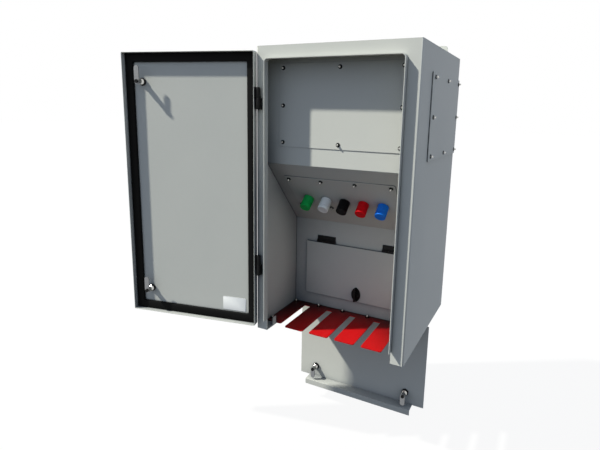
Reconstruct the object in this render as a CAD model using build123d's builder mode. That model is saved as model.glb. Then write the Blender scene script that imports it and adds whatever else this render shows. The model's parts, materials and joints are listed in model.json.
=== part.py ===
"""Generator tap box: a wall-hung sheet-steel cabinet with a side-hinged door, a drop-down bottom flap,
a folded inner barrier with five capped inlets, and a comb plate that guides the cables in from below.

Origin: centre of the four wall bolts, on the wall. +X right, -Y to the front, +Z up, millimetres.
Every piece is modelled shut, where it lines up with its neighbours, and the door and the flap are then
swung to the open pose in which the box is shown.
"""
import os
from math import atan2, degrees, hypot

from build123d import *

os.makedirs("parts", exist_ok=True)

# Cabinet shell
cabinet_width = 508.0
cabinet_height = 914.0
cabinet_depth = 512.0
sheet = 2.0
bend_radius = 4.0
flange_width = 38.0
lip_depth = 19.0
lip_corner = 12.0
floor_lead = 20.0
overrun = 10.0

# Wall ears
ear_thickness = 3.0
ear_width = 50.0
ear_reach = 47.0
ear_overlap = 60.0
ear_inset = 71.0
ear_corner = 10.0
ear_hole_radius = 5.5
ear_hole_edge = 23.0

# Inner barrier
barrier_gap = 0.5
upper_face_depth = 58.0
lower_face_depth = 260.0
slope_top_height = 555.0
slope_bottom_height = 335.0
barrier_flange = 25.0

# Domed screws on sealing washers
screw_washer_radius = 6.5
screw_washer_height = 1.5
screw_head_radius = 4.4
screw_head_height = 4.5
screw_dome_radius = 2.4
screw_dome_height = 2.5
screw_shank_radius = 2.5
screw_hole_radius = 2.7

# Dead-front cover
cover_thickness = 2.0
cover_corner = 6.0
dead_front_side_margin = 8.0
dead_front_top_margin = 9.0
dead_front_bottom_margin = 57.0
dead_front_screw_inset = 14.0
dead_front_overlap = 28.0

# Inlet plate and inlets
inlet_drop = 168.0
inlet_plate_left_margin = 40.5
inlet_plate_right_margin = 80.5
inlet_plate_end_margin = 57.0
inlet_plate_top_drop = 57.0
inlet_plate_bottom_drop = 222.0
inlet_plate_screw_inset = 14.0
inlet_plate_overlap = 30.0
inlet_collar_width = 2.5
inlet_collar_height = 3.0
inlet_sleeve_radius = 12.5
inlet_sleeve_length = 30.0
inlet_boss_length = 28.0
inlet_fit = 0.2
contact_radius = 7.0
contact_recess = 3.0
contact_shoulder_radius = 11.0
contact_shoulder_height = 4.0
contact_stud_radius = 5.0
contact_stud_length = 14.0
contact_nut_flats = 16.0
contact_nut_height = 6.0
contact_fit = 0.05
cap_wall = 2.7
cap_length = 42.0
cap_band_length = 10.0
cap_groove_width = 1.8
cap_groove_depth = 1.2
cap_end_wall = 5.0
cap_chamfer = 1.8
cap_notch_width = 9.0
cap_notch_height = 3.0
cap_notch_depth = 1.2
cap_fit = 0.3

# Bus bars behind the barrier
bus_width = 30.0
bus_thickness = 5.0
bus_foot = 26.0
bus_bend_drop = 110.0
bus_bend_radius = 8.0
bus_top_margin = 84.0
bus_support_height = 30.0
bus_support_depth = 20.0
bus_support_upper_share = 0.67
bus_support_lower_share = 0.21
lug_width = 26.0
lug_height = 44.0
lug_depth = 30.0
lug_drop = 12.0
lug_bore_radius = 8.5
lug_bore_wall = 5.0
lug_screw_radius = 6.5
lug_screw_height = 4.0

# Cable comb
comb_thickness = 3.0
comb_side_gap = 2.0
comb_back_gap = 2.0
comb_tip_depth = 42.0
comb_outer_tip_depth = 58.0
comb_spine_depth = 26.0
comb_outer_width = 54.0
comb_slot_count = 5
comb_slot_width = 24.0
comb_tip_radius = 6.0
comb_screw_inset = 10.0
comb_screw_side_inset = 7.5
comb_screw_count = 6
comb_front_screw_depth = 80.0

# Side cover over the conduit opening
side_cover_front_depth = 118.0
side_cover_rear_gap = 3.0
side_cover_top_drop = 73.0
side_cover_height = 254.0
side_cover_front_inset = 28.0
side_cover_rear_inset = 13.0
side_cover_row_inset = 14.0
side_opening_margin = 34.0
side_opening_front_margin = 82.0
side_gasket_thickness = 1.5
side_gasket_step = 2.0

# Front door
door_side_gap = 15.0
door_end_gap = 23.0
door_rim_gap = 3.0
door_corner = 4.0
door_open_angle = 168.0
gasket_width = 26.0
gasket_edge_gap = 1.5
gasket_gap = 0.3
gasket_thickness = 8.2

# Front door hinges: lift-off pattern, the door's half sits above the frame's half
hinge_tuck = 2.6
hinge_from_face = 11.6
hinge_barrel_radius = 6.5
hinge_height = 66.0
hinge_pin_radius = 3.0
hinge_pin_fit = 0.05
hinge_pin_end_wall = 7.0
hinge_leaf_thickness = 3.0
hinge_leaf_edge_gap = 2.0
hinge_half_gap = 0.4
hinge_upper_drop = 140.0
hinge_lower_rise = 211.0

# Quarter-turn cam latches of the door and the flap
latch_upper_drop = 92.0
latch_lower_rise = 79.0
latch_catch = 6.0
latch_flange_radius = 15.0
latch_flange_height = 3.0
latch_barrel_radius = 9.0
latch_barrel_length = 20.0
latch_barrel_fit = 0.15
latch_nut_flats = 22.0
latch_nut_height = 7.0
latch_spindle_radius = 5.0
latch_spindle_fit = 0.05
latch_shoulder_radius = 7.5
latch_shoulder_gap = 0.3
latch_cam_standoff = 30.5
latch_cam_thickness = 3.0
latch_cam_length = 50.0
latch_cam_width = 17.0
latch_screw_flats = 11.0
latch_screw_height = 4.0
latch_slot_width = 1.8
latch_slot_depth = 1.5

# Access door in the lower part of the barrier
access_side_margin = 48.5
access_bottom_height = 52.0
access_top_gap = 83.0
access_depth = 7.0
access_gap = 0.4
access_overlap = 13.0
access_hinge_inset = 78.0
access_hinge_width = 72.0
access_hinge_rise = 6.0
access_hinge_setback = 3.2
access_barrel_radius = 3.5
access_pin_radius = 1.8
access_pin_fit = 0.05
access_leaf_thickness = 2.0
access_leaf_height = 16.0
access_leaf_gap = 0.5
access_knuckle_gap = 0.4

# Access latch
access_latch_rise = 28.0
access_escutcheon_width = 34.0
access_escutcheon_height = 54.0
access_escutcheon_thickness = 3.0
access_barrel_outer = 8.0
access_barrel_length = 5.0
access_spindle_radius = 4.0
access_hub_radius = 11.0
access_hub_height = 6.0
access_wing_width = 7.0
access_wing_height = 14.0
access_wing_length = 46.0
access_wing_corner = 3.0
access_hub_gap = 0.3
access_cam_gap = 1.0
access_cam_thickness = 3.0
access_cam_length = 30.0
access_cam_width = 14.0

# Bottom flap
flap_gap = 0.5
flap_flange_gap = 1.0
flap_hinge_depth = 326.0
flap_hinge_drop = 7.0
flap_hinge_clear = 6.0
flap_open_angle = 90.0
flap_barrel_radius = 4.0
flap_pin_radius = 2.0
flap_pin_fit = 0.05
flap_leaf_thickness = 2.0
flap_leaf_length = 26.0
flap_hinge_side_gap = 4.0
flap_knuckle_count = 7
flap_knuckle_gap = 0.4
flap_latch_depth = 46.0
flap_cam_length = 36.0
keeper_width = 20.0
keeper_cam_gap = 1.0

# Shared places worked out from the sizes above
half_width = cabinet_width / 2
roof_z = cabinet_height / 2
floor_z = -roof_z
back_y = -ear_thickness
face_y = back_y - cabinet_depth
lip_x = half_width - flange_width
opening_x = lip_x - sheet
lip_top_z = roof_z - flange_width
lip_bottom_z = floor_z + flange_width
lip_y = face_y - lip_depth
inside_x = half_width - sheet
upper_y = face_y + upper_face_depth
lower_y = face_y + lower_face_depth
slope_top_z = floor_z + slope_top_height
slope_bottom_z = floor_z + slope_bottom_height
barrier_x = inside_x - barrier_gap
shelf_z = floor_z + sheet

# The slope's own plane: local x across, local y up the slope, local z out towards the front
slope_run = lower_y - upper_y
slope_fall = slope_top_z - slope_bottom_z
slope_length = hypot(slope_run, slope_fall)
slope_plane = Plane(
    origin=(0, upper_y, slope_top_z),
    x_dir=(1, 0, 0),
    z_dir=(0, -slope_fall / slope_length, -slope_run / slope_length),
)
inlet_names = ("ground", "neutral", "phase_a", "phase_b", "phase_c")
inlet_plate_width = 2 * barrier_x - inlet_plate_left_margin - inlet_plate_right_margin
inlet_center_x = (inlet_plate_left_margin - inlet_plate_right_margin) / 2
inlet_pitch = (inlet_plate_width - 2 * inlet_plate_end_margin) / (len(inlet_names) - 1)
inlet_middle = (len(inlet_names) - 1) / 2
inlet_xs = [inlet_center_x + (k - inlet_middle) * inlet_pitch for k in range(len(inlet_names))]

# The door's frame, shut: its outer edges and its inner face
door_half = lip_x + door_side_gap
door_top_z = lip_top_z + door_end_gap
door_bottom_z = lip_bottom_z - door_end_gap
door_mid_z = (door_top_z + door_bottom_z) / 2
door_width = 2 * door_half
door_height = door_top_z - door_bottom_z
door_inner_y = lip_y - gasket_gap - gasket_thickness
door_front_y = door_inner_y - sheet
door_depth = face_y - door_rim_gap - door_front_y
hinge_x = -(half_width + door_half - hinge_tuck) / 2
hinge_y = face_y - hinge_from_face
hinge_zs = (door_top_z - hinge_upper_drop, door_bottom_z + hinge_lower_rise)
door_latch_x = opening_x + latch_catch - latch_cam_length
door_latches = {
    "door_latch_upper_cam": door_top_z - latch_upper_drop,
    "door_latch_lower_cam": door_bottom_z + latch_lower_rise,
}

# The flap's frame, shut
flap_top_z = floor_z - flap_gap
flap_bottom_z = flap_top_z - sheet
flap_axis_y = face_y + flap_hinge_depth
flap_axis_z = floor_z - flap_hinge_drop
flap_rear_y = flap_axis_y - flap_hinge_clear
flap_flange_x = opening_x - flap_flange_gap
flap_hinge_width = 2 * (opening_x - flap_hinge_side_gap)
flap_latch_x = opening_x + latch_catch - flap_cam_length
flap_latch_y = face_y + flap_latch_depth
keeper_top_z = flap_top_z + latch_cam_standoff - keeper_cam_gap

# Swings from shut to the open pose
door_open = (
    Location((hinge_x, hinge_y, 0))
    * Location((0, 0, 0), (0, 0, -door_open_angle))
    * Location((-hinge_x, -hinge_y, 0))
)
flap_open = (
    Location((0, flap_axis_y, flap_axis_z))
    * Location((0, 0, 0), (flap_open_angle, 0, 0))
    * Location((0, -flap_axis_y, -flap_axis_z))
)

upward = (Align.CENTER, Align.CENTER, Align.MIN)
downward = (Align.CENTER, Align.CENTER, Align.MAX)


def add_screws(spots, grip):
    """Domed screws at spots of the current place: heads above its plane, shanks as deep as the grip."""
    with Locations(*spots):
        Cylinder(screw_washer_radius, screw_washer_height, align=upward)
        Cylinder(screw_shank_radius, grip, align=downward)
    with Locations(*[(x, y, screw_washer_height) for x, y in spots]):
        Cylinder(screw_head_radius, screw_head_height, align=upward)
    with Locations(*[(x, y, screw_washer_height + screw_head_height) for x, y in spots]):
        Cone(screw_head_radius, screw_dome_radius, screw_dome_height, align=upward)


# Enclosure wrap: left side, back and right side folded from one sheet, with the front flanges
with BuildPart() as enclosure_wrap:
    with BuildSketch(Plane.XY.offset(floor_z)):
        with BuildLine():
            FilletPolyline(
                (-opening_x, face_y),
                (-half_width, face_y),
                (-half_width, back_y),
                (half_width, back_y),
                (half_width, face_y),
                (opening_x, face_y),
                radius=bend_radius,
            )
            offset(amount=sheet, side=Side.RIGHT)
        make_face()
    extrude(amount=cabinet_height - sheet)
    # Sealing lips, turned forward from the flanges' inner edges
    side_lip_top_z = lip_top_z - 2 * lip_corner
    with BuildSketch(Plane.XY.offset(lip_bottom_z)):
        with GridLocations(opening_x + lip_x, 0, 2, 1):
            with Locations((0, lip_y)):
                Rectangle(sheet, lip_depth + sheet, align=(Align.CENTER, Align.MIN))
    extrude(amount=side_lip_top_z - lip_bottom_z)
    # Bottom flanges, turned in from the sides
    with BuildSketch(Plane.XY.offset(floor_z)):
        with GridLocations(opening_x + inside_x, 0, 2, 1):
            with Locations((0, face_y + sheet)):
                Rectangle(inside_x - opening_x, cabinet_depth - 2 * sheet, align=(Align.CENTER, Align.MIN))
    extrude(amount=sheet)
    # Keeper tabs, turned up from the bottom flanges where the flap's cams pass over
    with BuildSketch(Plane.XY.offset(floor_z)):
        with GridLocations(opening_x + lip_x, 0, 2, 1):
            with Locations((0, flap_latch_y)):
                Rectangle(sheet, keeper_width)
    extrude(amount=keeper_top_z - floor_z)
    # Conduit opening in the right side, behind the side cover
    side_cover_front_y = face_y + side_cover_front_depth
    side_cover_rear_y = back_y - side_cover_rear_gap
    side_cover_mid_y = (side_cover_front_y + side_cover_rear_y) / 2
    side_cover_width = side_cover_rear_y - side_cover_front_y
    side_cover_mid_z = roof_z - side_cover_top_drop - side_cover_height / 2
    side_opening_width = side_cover_width - side_opening_front_margin - side_opening_margin
    side_opening_height = side_cover_height - 2 * side_opening_margin
    side_opening_shift = (side_opening_front_margin - side_opening_margin) / 2
    with BuildSketch(Plane.YZ.offset(half_width)):
        with Locations((side_cover_mid_y + side_opening_shift, side_cover_mid_z)):
            Rectangle(side_opening_width, side_opening_height)
    extrude(amount=-(sheet + overrun), mode=Mode.SUBTRACT)
enclosure_wrap.part.label = "enclosure_wrap"
export_step(enclosure_wrap.part, "parts/enclosure_wrap.step")

# Roof panel: top sheet with its front flange and the rounded top of the sealing lip
with BuildPart() as roof_panel:
    with BuildSketch(Plane.XY.offset(roof_z - sheet)):
        with Locations((0, (face_y + back_y) / 2)):
            RectangleRounded(cabinet_width, cabinet_depth, bend_radius)
    extrude(amount=sheet)
    lip_arc_z = lip_top_z - lip_corner
    lip_fill_share = 0.4
    flange_foot_z = lip_arc_z + lip_fill_share * lip_corner
    with BuildSketch(Plane.XZ.offset(-face_y)):
        with Locations((0, flange_foot_z)):
            Rectangle(2 * opening_x, roof_z - sheet - flange_foot_z, align=(Align.CENTER, Align.MIN))
        with Locations((0, lip_top_z - sheet)):
            opening = RectangleRounded(
                2 * opening_x,
                cabinet_height,
                lip_corner - sheet,
                align=(Align.CENTER, Align.MAX),
                mode=Mode.SUBTRACT,
            )
    extrude(amount=-sheet)
    with BuildSketch(Plane.XZ.offset(-face_y)):
        with BuildLine():
            FilletPolyline(
                (-lip_x, side_lip_top_z),
                (-lip_x, lip_top_z),
                (lip_x, lip_top_z),
                (lip_x, side_lip_top_z),
                radius=lip_corner,
            )
            offset(amount=sheet, side=Side.RIGHT)
        make_face()
    extrude(amount=lip_depth)
roof_panel.part.label = "roof_panel"
export_step(roof_panel.part, "parts/roof_panel.step")

# Rear floor: closes the wiring compartment between the bottom flanges
with BuildPart() as rear_floor:
    with BuildSketch(Plane.XY.offset(floor_z)):
        with Locations((0, lower_y - floor_lead)):
            Rectangle(
                2 * opening_x,
                back_y - sheet - lower_y + floor_lead,
                align=(Align.CENTER, Align.MIN),
            )
    extrude(amount=sheet)
rear_floor.part.label = "rear_floor"
export_step(rear_floor.part, "parts/rear_floor.step")

# Wall ears: four flat straps on the back, each with one bolt hole beyond the cabinet
ear_x = half_width - ear_inset
ear_length = ear_overlap + ear_reach
ear_mid_z = roof_z + ear_reach - ear_length / 2
ear_hole_z = roof_z + ear_reach - ear_hole_edge
with BuildPart() as wall_ears:
    with BuildSketch(Plane.XZ):
        with GridLocations(2 * ear_x, 2 * ear_mid_z, 2, 2):
            RectangleRounded(ear_width, ear_length, ear_corner)
        with GridLocations(2 * ear_x, 2 * ear_hole_z, 2, 2):
            Circle(ear_hole_radius, mode=Mode.SUBTRACT)
    extrude(amount=ear_thickness)
wall_ears.part.label = "wall_ears"
export_step(wall_ears.part, "parts/wall_ears.step")

# Sizes of the covers on the barrier, which its openings follow
dead_front_half = opening_x - dead_front_side_margin
dead_front_top_z = lip_top_z - dead_front_top_margin
dead_front_bottom_z = slope_top_z + dead_front_bottom_margin
dead_front_mid_z = (dead_front_top_z + dead_front_bottom_z) / 2
dead_front_height = dead_front_top_z - dead_front_bottom_z
inlet_plate_height = inlet_plate_bottom_drop - inlet_plate_top_drop
inlet_plate_mid_y = -(inlet_plate_top_drop + inlet_plate_bottom_drop) / 2
access_bottom_z = floor_z + access_bottom_height
access_top_z = slope_bottom_z - access_top_gap
access_mid_z = (access_top_z + access_bottom_z) / 2
access_height = access_top_z - access_bottom_z
access_width = 2 * (barrier_x - access_side_margin)

# Inner barrier: one folded sheet, upright, sloped and upright again, with three openings
with BuildPart() as inner_barrier:
    with BuildSketch(Plane.YZ.offset(-barrier_x)):
        with BuildLine():
            FilletPolyline(
                (upper_y + barrier_flange, roof_z - sheet),
                (upper_y, roof_z - sheet),
                (upper_y, slope_top_z),
                (lower_y, slope_bottom_z),
                (lower_y, shelf_z),
                (lower_y + barrier_flange, shelf_z),
                radius=bend_radius,
            )
            offset(amount=sheet, side=Side.LEFT)
        make_face()
    extrude(amount=2 * barrier_x)
    with BuildSketch(Plane.XZ.offset(-upper_y)):
        with Locations((0, dead_front_mid_z)):
            Rectangle(2 * (dead_front_half - dead_front_overlap), dead_front_height - 2 * dead_front_overlap)
    extrude(amount=-(sheet + overrun), mode=Mode.SUBTRACT)
    with BuildSketch(slope_plane):
        with Locations((inlet_center_x, inlet_plate_mid_y)):
            Rectangle(
                inlet_plate_width - 2 * inlet_plate_overlap,
                inlet_plate_height - 2 * inlet_plate_overlap,
            )
    extrude(amount=-(sheet + overrun), mode=Mode.SUBTRACT)
    with BuildSketch(Plane.XZ.offset(-lower_y)):
        with Locations((0, access_mid_z)):
            Rectangle(access_width - 2 * access_overlap, access_height - 2 * access_overlap)
    extrude(amount=-(sheet + overrun), mode=Mode.SUBTRACT)
inner_barrier.part.label = "inner_barrier"
export_step(inner_barrier.part, "parts/inner_barrier.step")

# Dead-front cover: flat plate over the upper opening
dead_front_plane = Plane(origin=(0, upper_y, dead_front_mid_z), x_dir=(1, 0, 0), z_dir=(0, -1, 0))
dead_front_screw_x = dead_front_half - dead_front_screw_inset
dead_front_screw_y = dead_front_height / 2 - dead_front_screw_inset
dead_front_spots = [
    (column * dead_front_screw_x, row * dead_front_screw_y)
    for column in (-1, 0, 1)
    for row in (-1, 0, 1)
    if (column, row) != (0, 0)
]
with BuildPart() as dead_front_cover:
    with BuildSketch(dead_front_plane):
        RectangleRounded(2 * dead_front_half, dead_front_height, cover_corner)
        with Locations(*dead_front_spots):
            Circle(screw_hole_radius, mode=Mode.SUBTRACT)
    extrude(amount=cover_thickness)
dead_front_cover.part.label = "dead_front_cover"
export_step(dead_front_cover.part, "parts/dead_front_cover.step")

with BuildPart() as dead_front_screws:
    with Locations(dead_front_plane.offset(cover_thickness)):
        add_screws(dead_front_spots, cover_thickness)
dead_front_screws.part.label = "dead_front_screws"
export_step(dead_front_screws.part, "parts/dead_front_screws.step")

# Inlet plate: carries the five inlets over the slope's opening
inlet_plate_screw_pitch = (inlet_plate_width - 2 * inlet_plate_screw_inset) / 3
inlet_plate_spots = [
    (inlet_center_x + (k - 1.5) * inlet_plate_screw_pitch, inlet_plate_mid_y + row)
    for k in range(4)
    for row in (
        inlet_plate_height / 2 - inlet_plate_screw_inset,
        inlet_plate_screw_inset - inlet_plate_height / 2,
    )
]
with BuildPart() as inlet_plate:
    with BuildSketch(slope_plane):
        with Locations((inlet_center_x, inlet_plate_mid_y)):
            RectangleRounded(inlet_plate_width, inlet_plate_height, cover_corner)
        with Locations(*[(x, -inlet_drop) for x in inlet_xs]):
            Circle(inlet_sleeve_radius + inlet_fit, mode=Mode.SUBTRACT)
        with Locations(*inlet_plate_spots):
            Circle(screw_hole_radius, mode=Mode.SUBTRACT)
    extrude(amount=cover_thickness)
inlet_plate.part.label = "inlet_plate"
export_step(inlet_plate.part, "parts/inlet_plate.step")

with BuildPart() as inlet_plate_screws:
    with Locations(slope_plane.offset(cover_thickness)):
        add_screws(inlet_plate_spots, cover_thickness)
inlet_plate_screws.part.label = "inlet_plate_screws"
export_step(inlet_plate_screws.part, "parts/inlet_plate_screws.step")

# Inlets: an insulating body, a brass contact and a push-on cap in each hole of the plate.
# Heights along an inlet's axis are counted from the barrier's slope, positive to the front.
collar_z = cover_thickness + inlet_collar_height
sleeve_z = collar_z + inlet_sleeve_length
boss_z = -inlet_boss_length
bus_front_z = boss_z - contact_shoulder_height
inlet_collar_radius = inlet_sleeve_radius + inlet_collar_width
cap_bore = inlet_sleeve_radius + cap_fit
cap_mouth = inlet_collar_radius + cap_fit
cap_radius = cap_mouth + cap_wall
cap_top_z = cover_thickness + cap_length
cap_band_z = cap_top_z - cap_band_length
for name, inlet_x in zip(inlet_names, inlet_xs):
    spot = slope_plane.location * Location((inlet_x, -inlet_drop, 0))
    turned = Plane(spot * Location((0, 0, 0), (90, 0, 0)))
    axis = Axis(spot.position, slope_plane.z_dir)

    # Body: collar on the plate, sleeve to the front, boss through the plate to the back
    with BuildPart() as inlet:
        with BuildSketch(turned):
            Polygon(
                (contact_radius + contact_fit, boss_z),
                (inlet_sleeve_radius, boss_z),
                (inlet_sleeve_radius, cover_thickness),
                (inlet_collar_radius, cover_thickness),
                (inlet_collar_radius, collar_z),
                (inlet_sleeve_radius, collar_z),
                (inlet_sleeve_radius, sleeve_z),
                (contact_radius + contact_fit, sleeve_z),
                align=None,
            )
        revolve(axis=axis)
    inlet.part.label = f"inlet_{name}"
    export_step(inlet.part, f"parts/inlet_{name}.step")

    # Contact: a turned pin whose shoulder seats on the boss, with a stud for the bus bar and its nut
    with BuildPart() as contact:
        with BuildSketch(turned):
            Polygon(
                (0, bus_front_z - bus_thickness - contact_stud_length),
                (contact_stud_radius, bus_front_z - bus_thickness - contact_stud_length),
                (contact_stud_radius, bus_front_z),
                (contact_shoulder_radius, bus_front_z),
                (contact_shoulder_radius, boss_z),
                (contact_radius, boss_z),
                (contact_radius, sleeve_z - contact_recess),
                (0, sleeve_z - contact_recess),
                align=None,
            )
        revolve(axis=axis)
        with BuildSketch(Plane(spot * Location((0, 0, bus_front_z - bus_thickness)))):
            RegularPolygon(contact_nut_flats / 2, 6, major_radius=False)
        extrude(amount=-contact_nut_height)
    contact.part.label = f"contact_{name}"
    export_step(contact.part, f"parts/contact_{name}.step")

    # Cap: a moulded cup that shrouds the collar, with a groove behind its end band and a notch in the band
    with BuildPart() as cap:
        with BuildSketch(turned):
            Polygon(
                (cap_mouth, cover_thickness),
                (cap_radius, cover_thickness),
                (cap_radius, cap_band_z - cap_groove_width),
                (cap_radius - cap_groove_depth, cap_band_z - cap_groove_width),
                (cap_radius - cap_groove_depth, cap_band_z),
                (cap_radius, cap_band_z),
                (cap_radius, cap_top_z - cap_chamfer),
                (cap_radius - cap_chamfer, cap_top_z),
                (0, cap_top_z),
                (0, cap_top_z - cap_end_wall),
                (cap_bore, cap_top_z - cap_end_wall),
                (cap_bore, collar_z + cap_fit),
                (cap_mouth, collar_z + cap_fit),
                align=None,
            )
        revolve(axis=axis)
        with Locations(spot * Location((0, cap_radius, cap_band_z + cap_band_length / 2))):
            Box(cap_notch_width, 2 * cap_notch_depth, cap_notch_height, mode=Mode.SUBTRACT)
    cap.part.label = f"cap_{name}"
    export_step(cap.part, f"parts/cap_{name}.step")

# Bus bars: bent copper flats from the contacts' studs up to the lugs behind the dead-front cover
def behind_slope(drop, depth):
    """Place in Y and Z of a point so far down the slope and so far behind it."""
    return (
        upper_y + (drop * slope_run + depth * slope_fall) / slope_length,
        slope_top_z + (depth * slope_run - drop * slope_fall) / slope_length,
    )


bus_foot_point = behind_slope(inlet_drop + bus_foot, -bus_front_z)
bus_bend_point = behind_slope(bus_bend_drop, -bus_front_z)
bus_y = bus_bend_point[0]
bus_top_z = roof_z - bus_top_margin
for name, inlet_x in zip(inlet_names, inlet_xs):
    with BuildPart() as bus_bar:
        with BuildSketch(Plane.YZ.offset(inlet_x - bus_width / 2)):
            with BuildLine():
                FilletPolyline(
                    bus_foot_point,
                    bus_bend_point,
                    (bus_y, bus_top_z),
                    radius=bus_bend_radius,
                )
                offset(amount=bus_thickness, side=Side.RIGHT)
            make_face()
        extrude(amount=bus_width)
        with BuildSketch(slope_plane.offset(bus_front_z)):
            with Locations((inlet_x, -inlet_drop)):
                Circle(contact_stud_radius + contact_fit)
        extrude(amount=-(bus_thickness + overrun), mode=Mode.SUBTRACT)
    bus_bar.part.label = f"bus_bar_{name}"
    export_step(bus_bar.part, f"parts/bus_bar_{name}.step")

# Bus supports: insulating rails from side to side behind the bars
bus_support_shares = {
    "bus_support_upper": bus_support_upper_share,
    "bus_support_lower": bus_support_lower_share,
}
for name, rise_share in bus_support_shares.items():
    support_z = bus_bend_point[1] + rise_share * (bus_top_z - bus_bend_point[1])
    with BuildPart() as bus_support:
        with BuildSketch(Plane.YZ.offset(-inside_x)):
            with Locations((bus_y + bus_thickness, support_z)):
                Rectangle(bus_support_depth, bus_support_height, align=(Align.MIN, Align.CENTER))
        extrude(amount=2 * inside_x)
    bus_support.part.label = name
    export_step(bus_support.part, f"parts/{name}.step")

# Lugs: clamp blocks on the front of the bars, open at the bottom for the cable, with a clamp screw
lug_mid_z = bus_top_z - lug_drop - lug_height / 2
with BuildPart() as bus_lugs:
    for inlet_x in inlet_xs:
        with Locations((inlet_x, bus_y, lug_mid_z)):
            Box(lug_width, lug_depth, lug_height, align=(Align.CENTER, Align.MAX, Align.CENTER))
        with Locations((inlet_x, bus_y - lug_bore_wall - lug_bore_radius, lug_mid_z)):
            Cylinder(lug_bore_radius, lug_height + overrun, mode=Mode.SUBTRACT)
    with BuildSketch(Plane.XZ.offset(lug_depth - bus_y)):
        with Locations(*[(inlet_x, lug_mid_z) for inlet_x in inlet_xs]):
            RegularPolygon(lug_screw_radius, 6)
    extrude(amount=lug_screw_height)
bus_lugs.part.label = "bus_lugs"
export_step(bus_lugs.part, "parts/bus_lugs.step")

# Cable comb: flat plate on the bottom flanges, with open slots between its fingers
comb_x = inside_x - comb_side_gap
comb_back_y = lower_y - comb_back_gap
comb_tip_y = face_y + comb_tip_depth
comb_outer_tip_y = face_y + comb_outer_tip_depth
comb_slot_end_y = comb_back_y - comb_spine_depth
comb_slot_span = 2 * (comb_x - comb_outer_width) - comb_slot_width
comb_slot_pitch = comb_slot_span / (comb_slot_count - 1)
comb_finger_width = comb_slot_pitch - comb_slot_width
comb_screw_y = comb_back_y - comb_screw_inset
comb_front_screw_y = face_y + comb_front_screw_depth
comb_screw_x = comb_x - comb_screw_side_inset
comb_screw_pitch = 2 * comb_screw_x / (comb_screw_count - 1)
comb_spots = [(k * comb_screw_pitch - comb_screw_x, comb_screw_y) for k in range(comb_screw_count)]
comb_spots += [(side * comb_screw_x, comb_front_screw_y) for side in (-1, 1)]
with BuildPart() as cable_comb:
    with BuildSketch(Plane.XY.offset(shelf_z)) as comb_outline:
        with Locations((0, comb_slot_end_y)):
            Rectangle(2 * comb_x, comb_back_y - comb_slot_end_y, align=(Align.CENTER, Align.MIN))
        with Locations((0, comb_tip_y)):
            with GridLocations(comb_slot_pitch, 0, comb_slot_count - 1, 1):
                Rectangle(comb_finger_width, comb_slot_end_y - comb_tip_y, align=(Align.CENTER, Align.MIN))
        with Locations((0, comb_outer_tip_y)):
            with GridLocations(2 * comb_x - comb_outer_width, 0, 2, 1):
                Rectangle(
                    comb_outer_width,
                    comb_slot_end_y - comb_outer_tip_y,
                    align=(Align.CENTER, Align.MIN),
                )
        tip_rows = comb_outline.vertices().group_by(Axis.Y)
        fillet(tip_rows[0] + tip_rows[1], radius=comb_tip_radius)
        with Locations(*comb_spots):
            Circle(screw_hole_radius, mode=Mode.SUBTRACT)
    extrude(amount=comb_thickness)
cable_comb.part.label = "cable_comb"
export_step(cable_comb.part, "parts/cable_comb.step")

with BuildPart() as comb_screws:
    with Locations(Plane.XY.offset(shelf_z + comb_thickness)):
        add_screws(comb_spots, comb_thickness)
comb_screws.part.label = "comb_screws"
export_step(comb_screws.part, "parts/comb_screws.step")

# Side cover: gasketed blank plate over the conduit opening
side_cover_plane = Plane(
    origin=(half_width, side_cover_mid_y, side_cover_mid_z),
    x_dir=(0, 1, 0),
    z_dir=(1, 0, 0),
)
side_screw_front = side_cover_front_inset - side_cover_width / 2
side_screw_rear = side_cover_width / 2 - side_cover_rear_inset
side_screw_row = side_cover_height / 2 - side_cover_row_inset
side_cover_spots = [
    (column, row * side_screw_row)
    for column in (side_screw_front, (side_screw_front + side_screw_rear) / 2, side_screw_rear)
    for row in (-1, 0, 1)
    if row != 0 or column in (side_screw_front, side_screw_rear)
]
with BuildPart() as side_cover_gasket:
    with BuildSketch(side_cover_plane):
        Rectangle(side_cover_width - 2 * side_gasket_step, side_cover_height - 2 * side_gasket_step)
        with Locations((side_opening_shift, 0)):
            Rectangle(side_opening_width, side_opening_height, mode=Mode.SUBTRACT)
        with Locations(*side_cover_spots):
            Circle(screw_hole_radius, mode=Mode.SUBTRACT)
    extrude(amount=side_gasket_thickness)
side_cover_gasket.part.label = "side_cover_gasket"
export_step(side_cover_gasket.part, "parts/side_cover_gasket.step")

with BuildPart() as side_cover:
    with BuildSketch(side_cover_plane.offset(side_gasket_thickness)):
        RectangleRounded(side_cover_width, side_cover_height, cover_corner)
        with Locations(*side_cover_spots):
            Circle(screw_hole_radius, mode=Mode.SUBTRACT)
    extrude(amount=cover_thickness)
side_cover.part.label = "side_cover"
export_step(side_cover.part, "parts/side_cover.step")

with BuildPart() as side_cover_screws:
    with Locations(side_cover_plane.offset(side_gasket_thickness + cover_thickness)):
        add_screws(side_cover_spots, side_gasket_thickness + cover_thickness)
side_cover_screws.part.label = "side_cover_screws"
export_step(side_cover_screws.part, "parts/side_cover_screws.step")

# Door tray: a folded pan, open to the cabinet
with BuildPart() as door_tray:
    with BuildSketch(Plane.XZ.offset(-door_front_y)):
        with Locations((0, door_mid_z)):
            RectangleRounded(door_width, door_height, door_corner)
    extrude(amount=-door_depth)
    fillet(door_tray.faces().sort_by(Axis.Y)[0].edges(), radius=bend_radius - sheet / 2)
    offset(amount=-sheet, openings=door_tray.faces().sort_by(Axis.Y)[-1])
    with BuildSketch(Plane.XZ.offset(-door_front_y)):
        with Locations(*[(door_latch_x, latch_z) for latch_z in door_latches.values()]):
            Circle(latch_barrel_radius + latch_barrel_fit)
    extrude(amount=-(sheet + overrun), mode=Mode.SUBTRACT)
door_tray.part.label = "door_tray"
export_step(door_tray.part.moved(door_open), "parts/door_tray.step")

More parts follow.
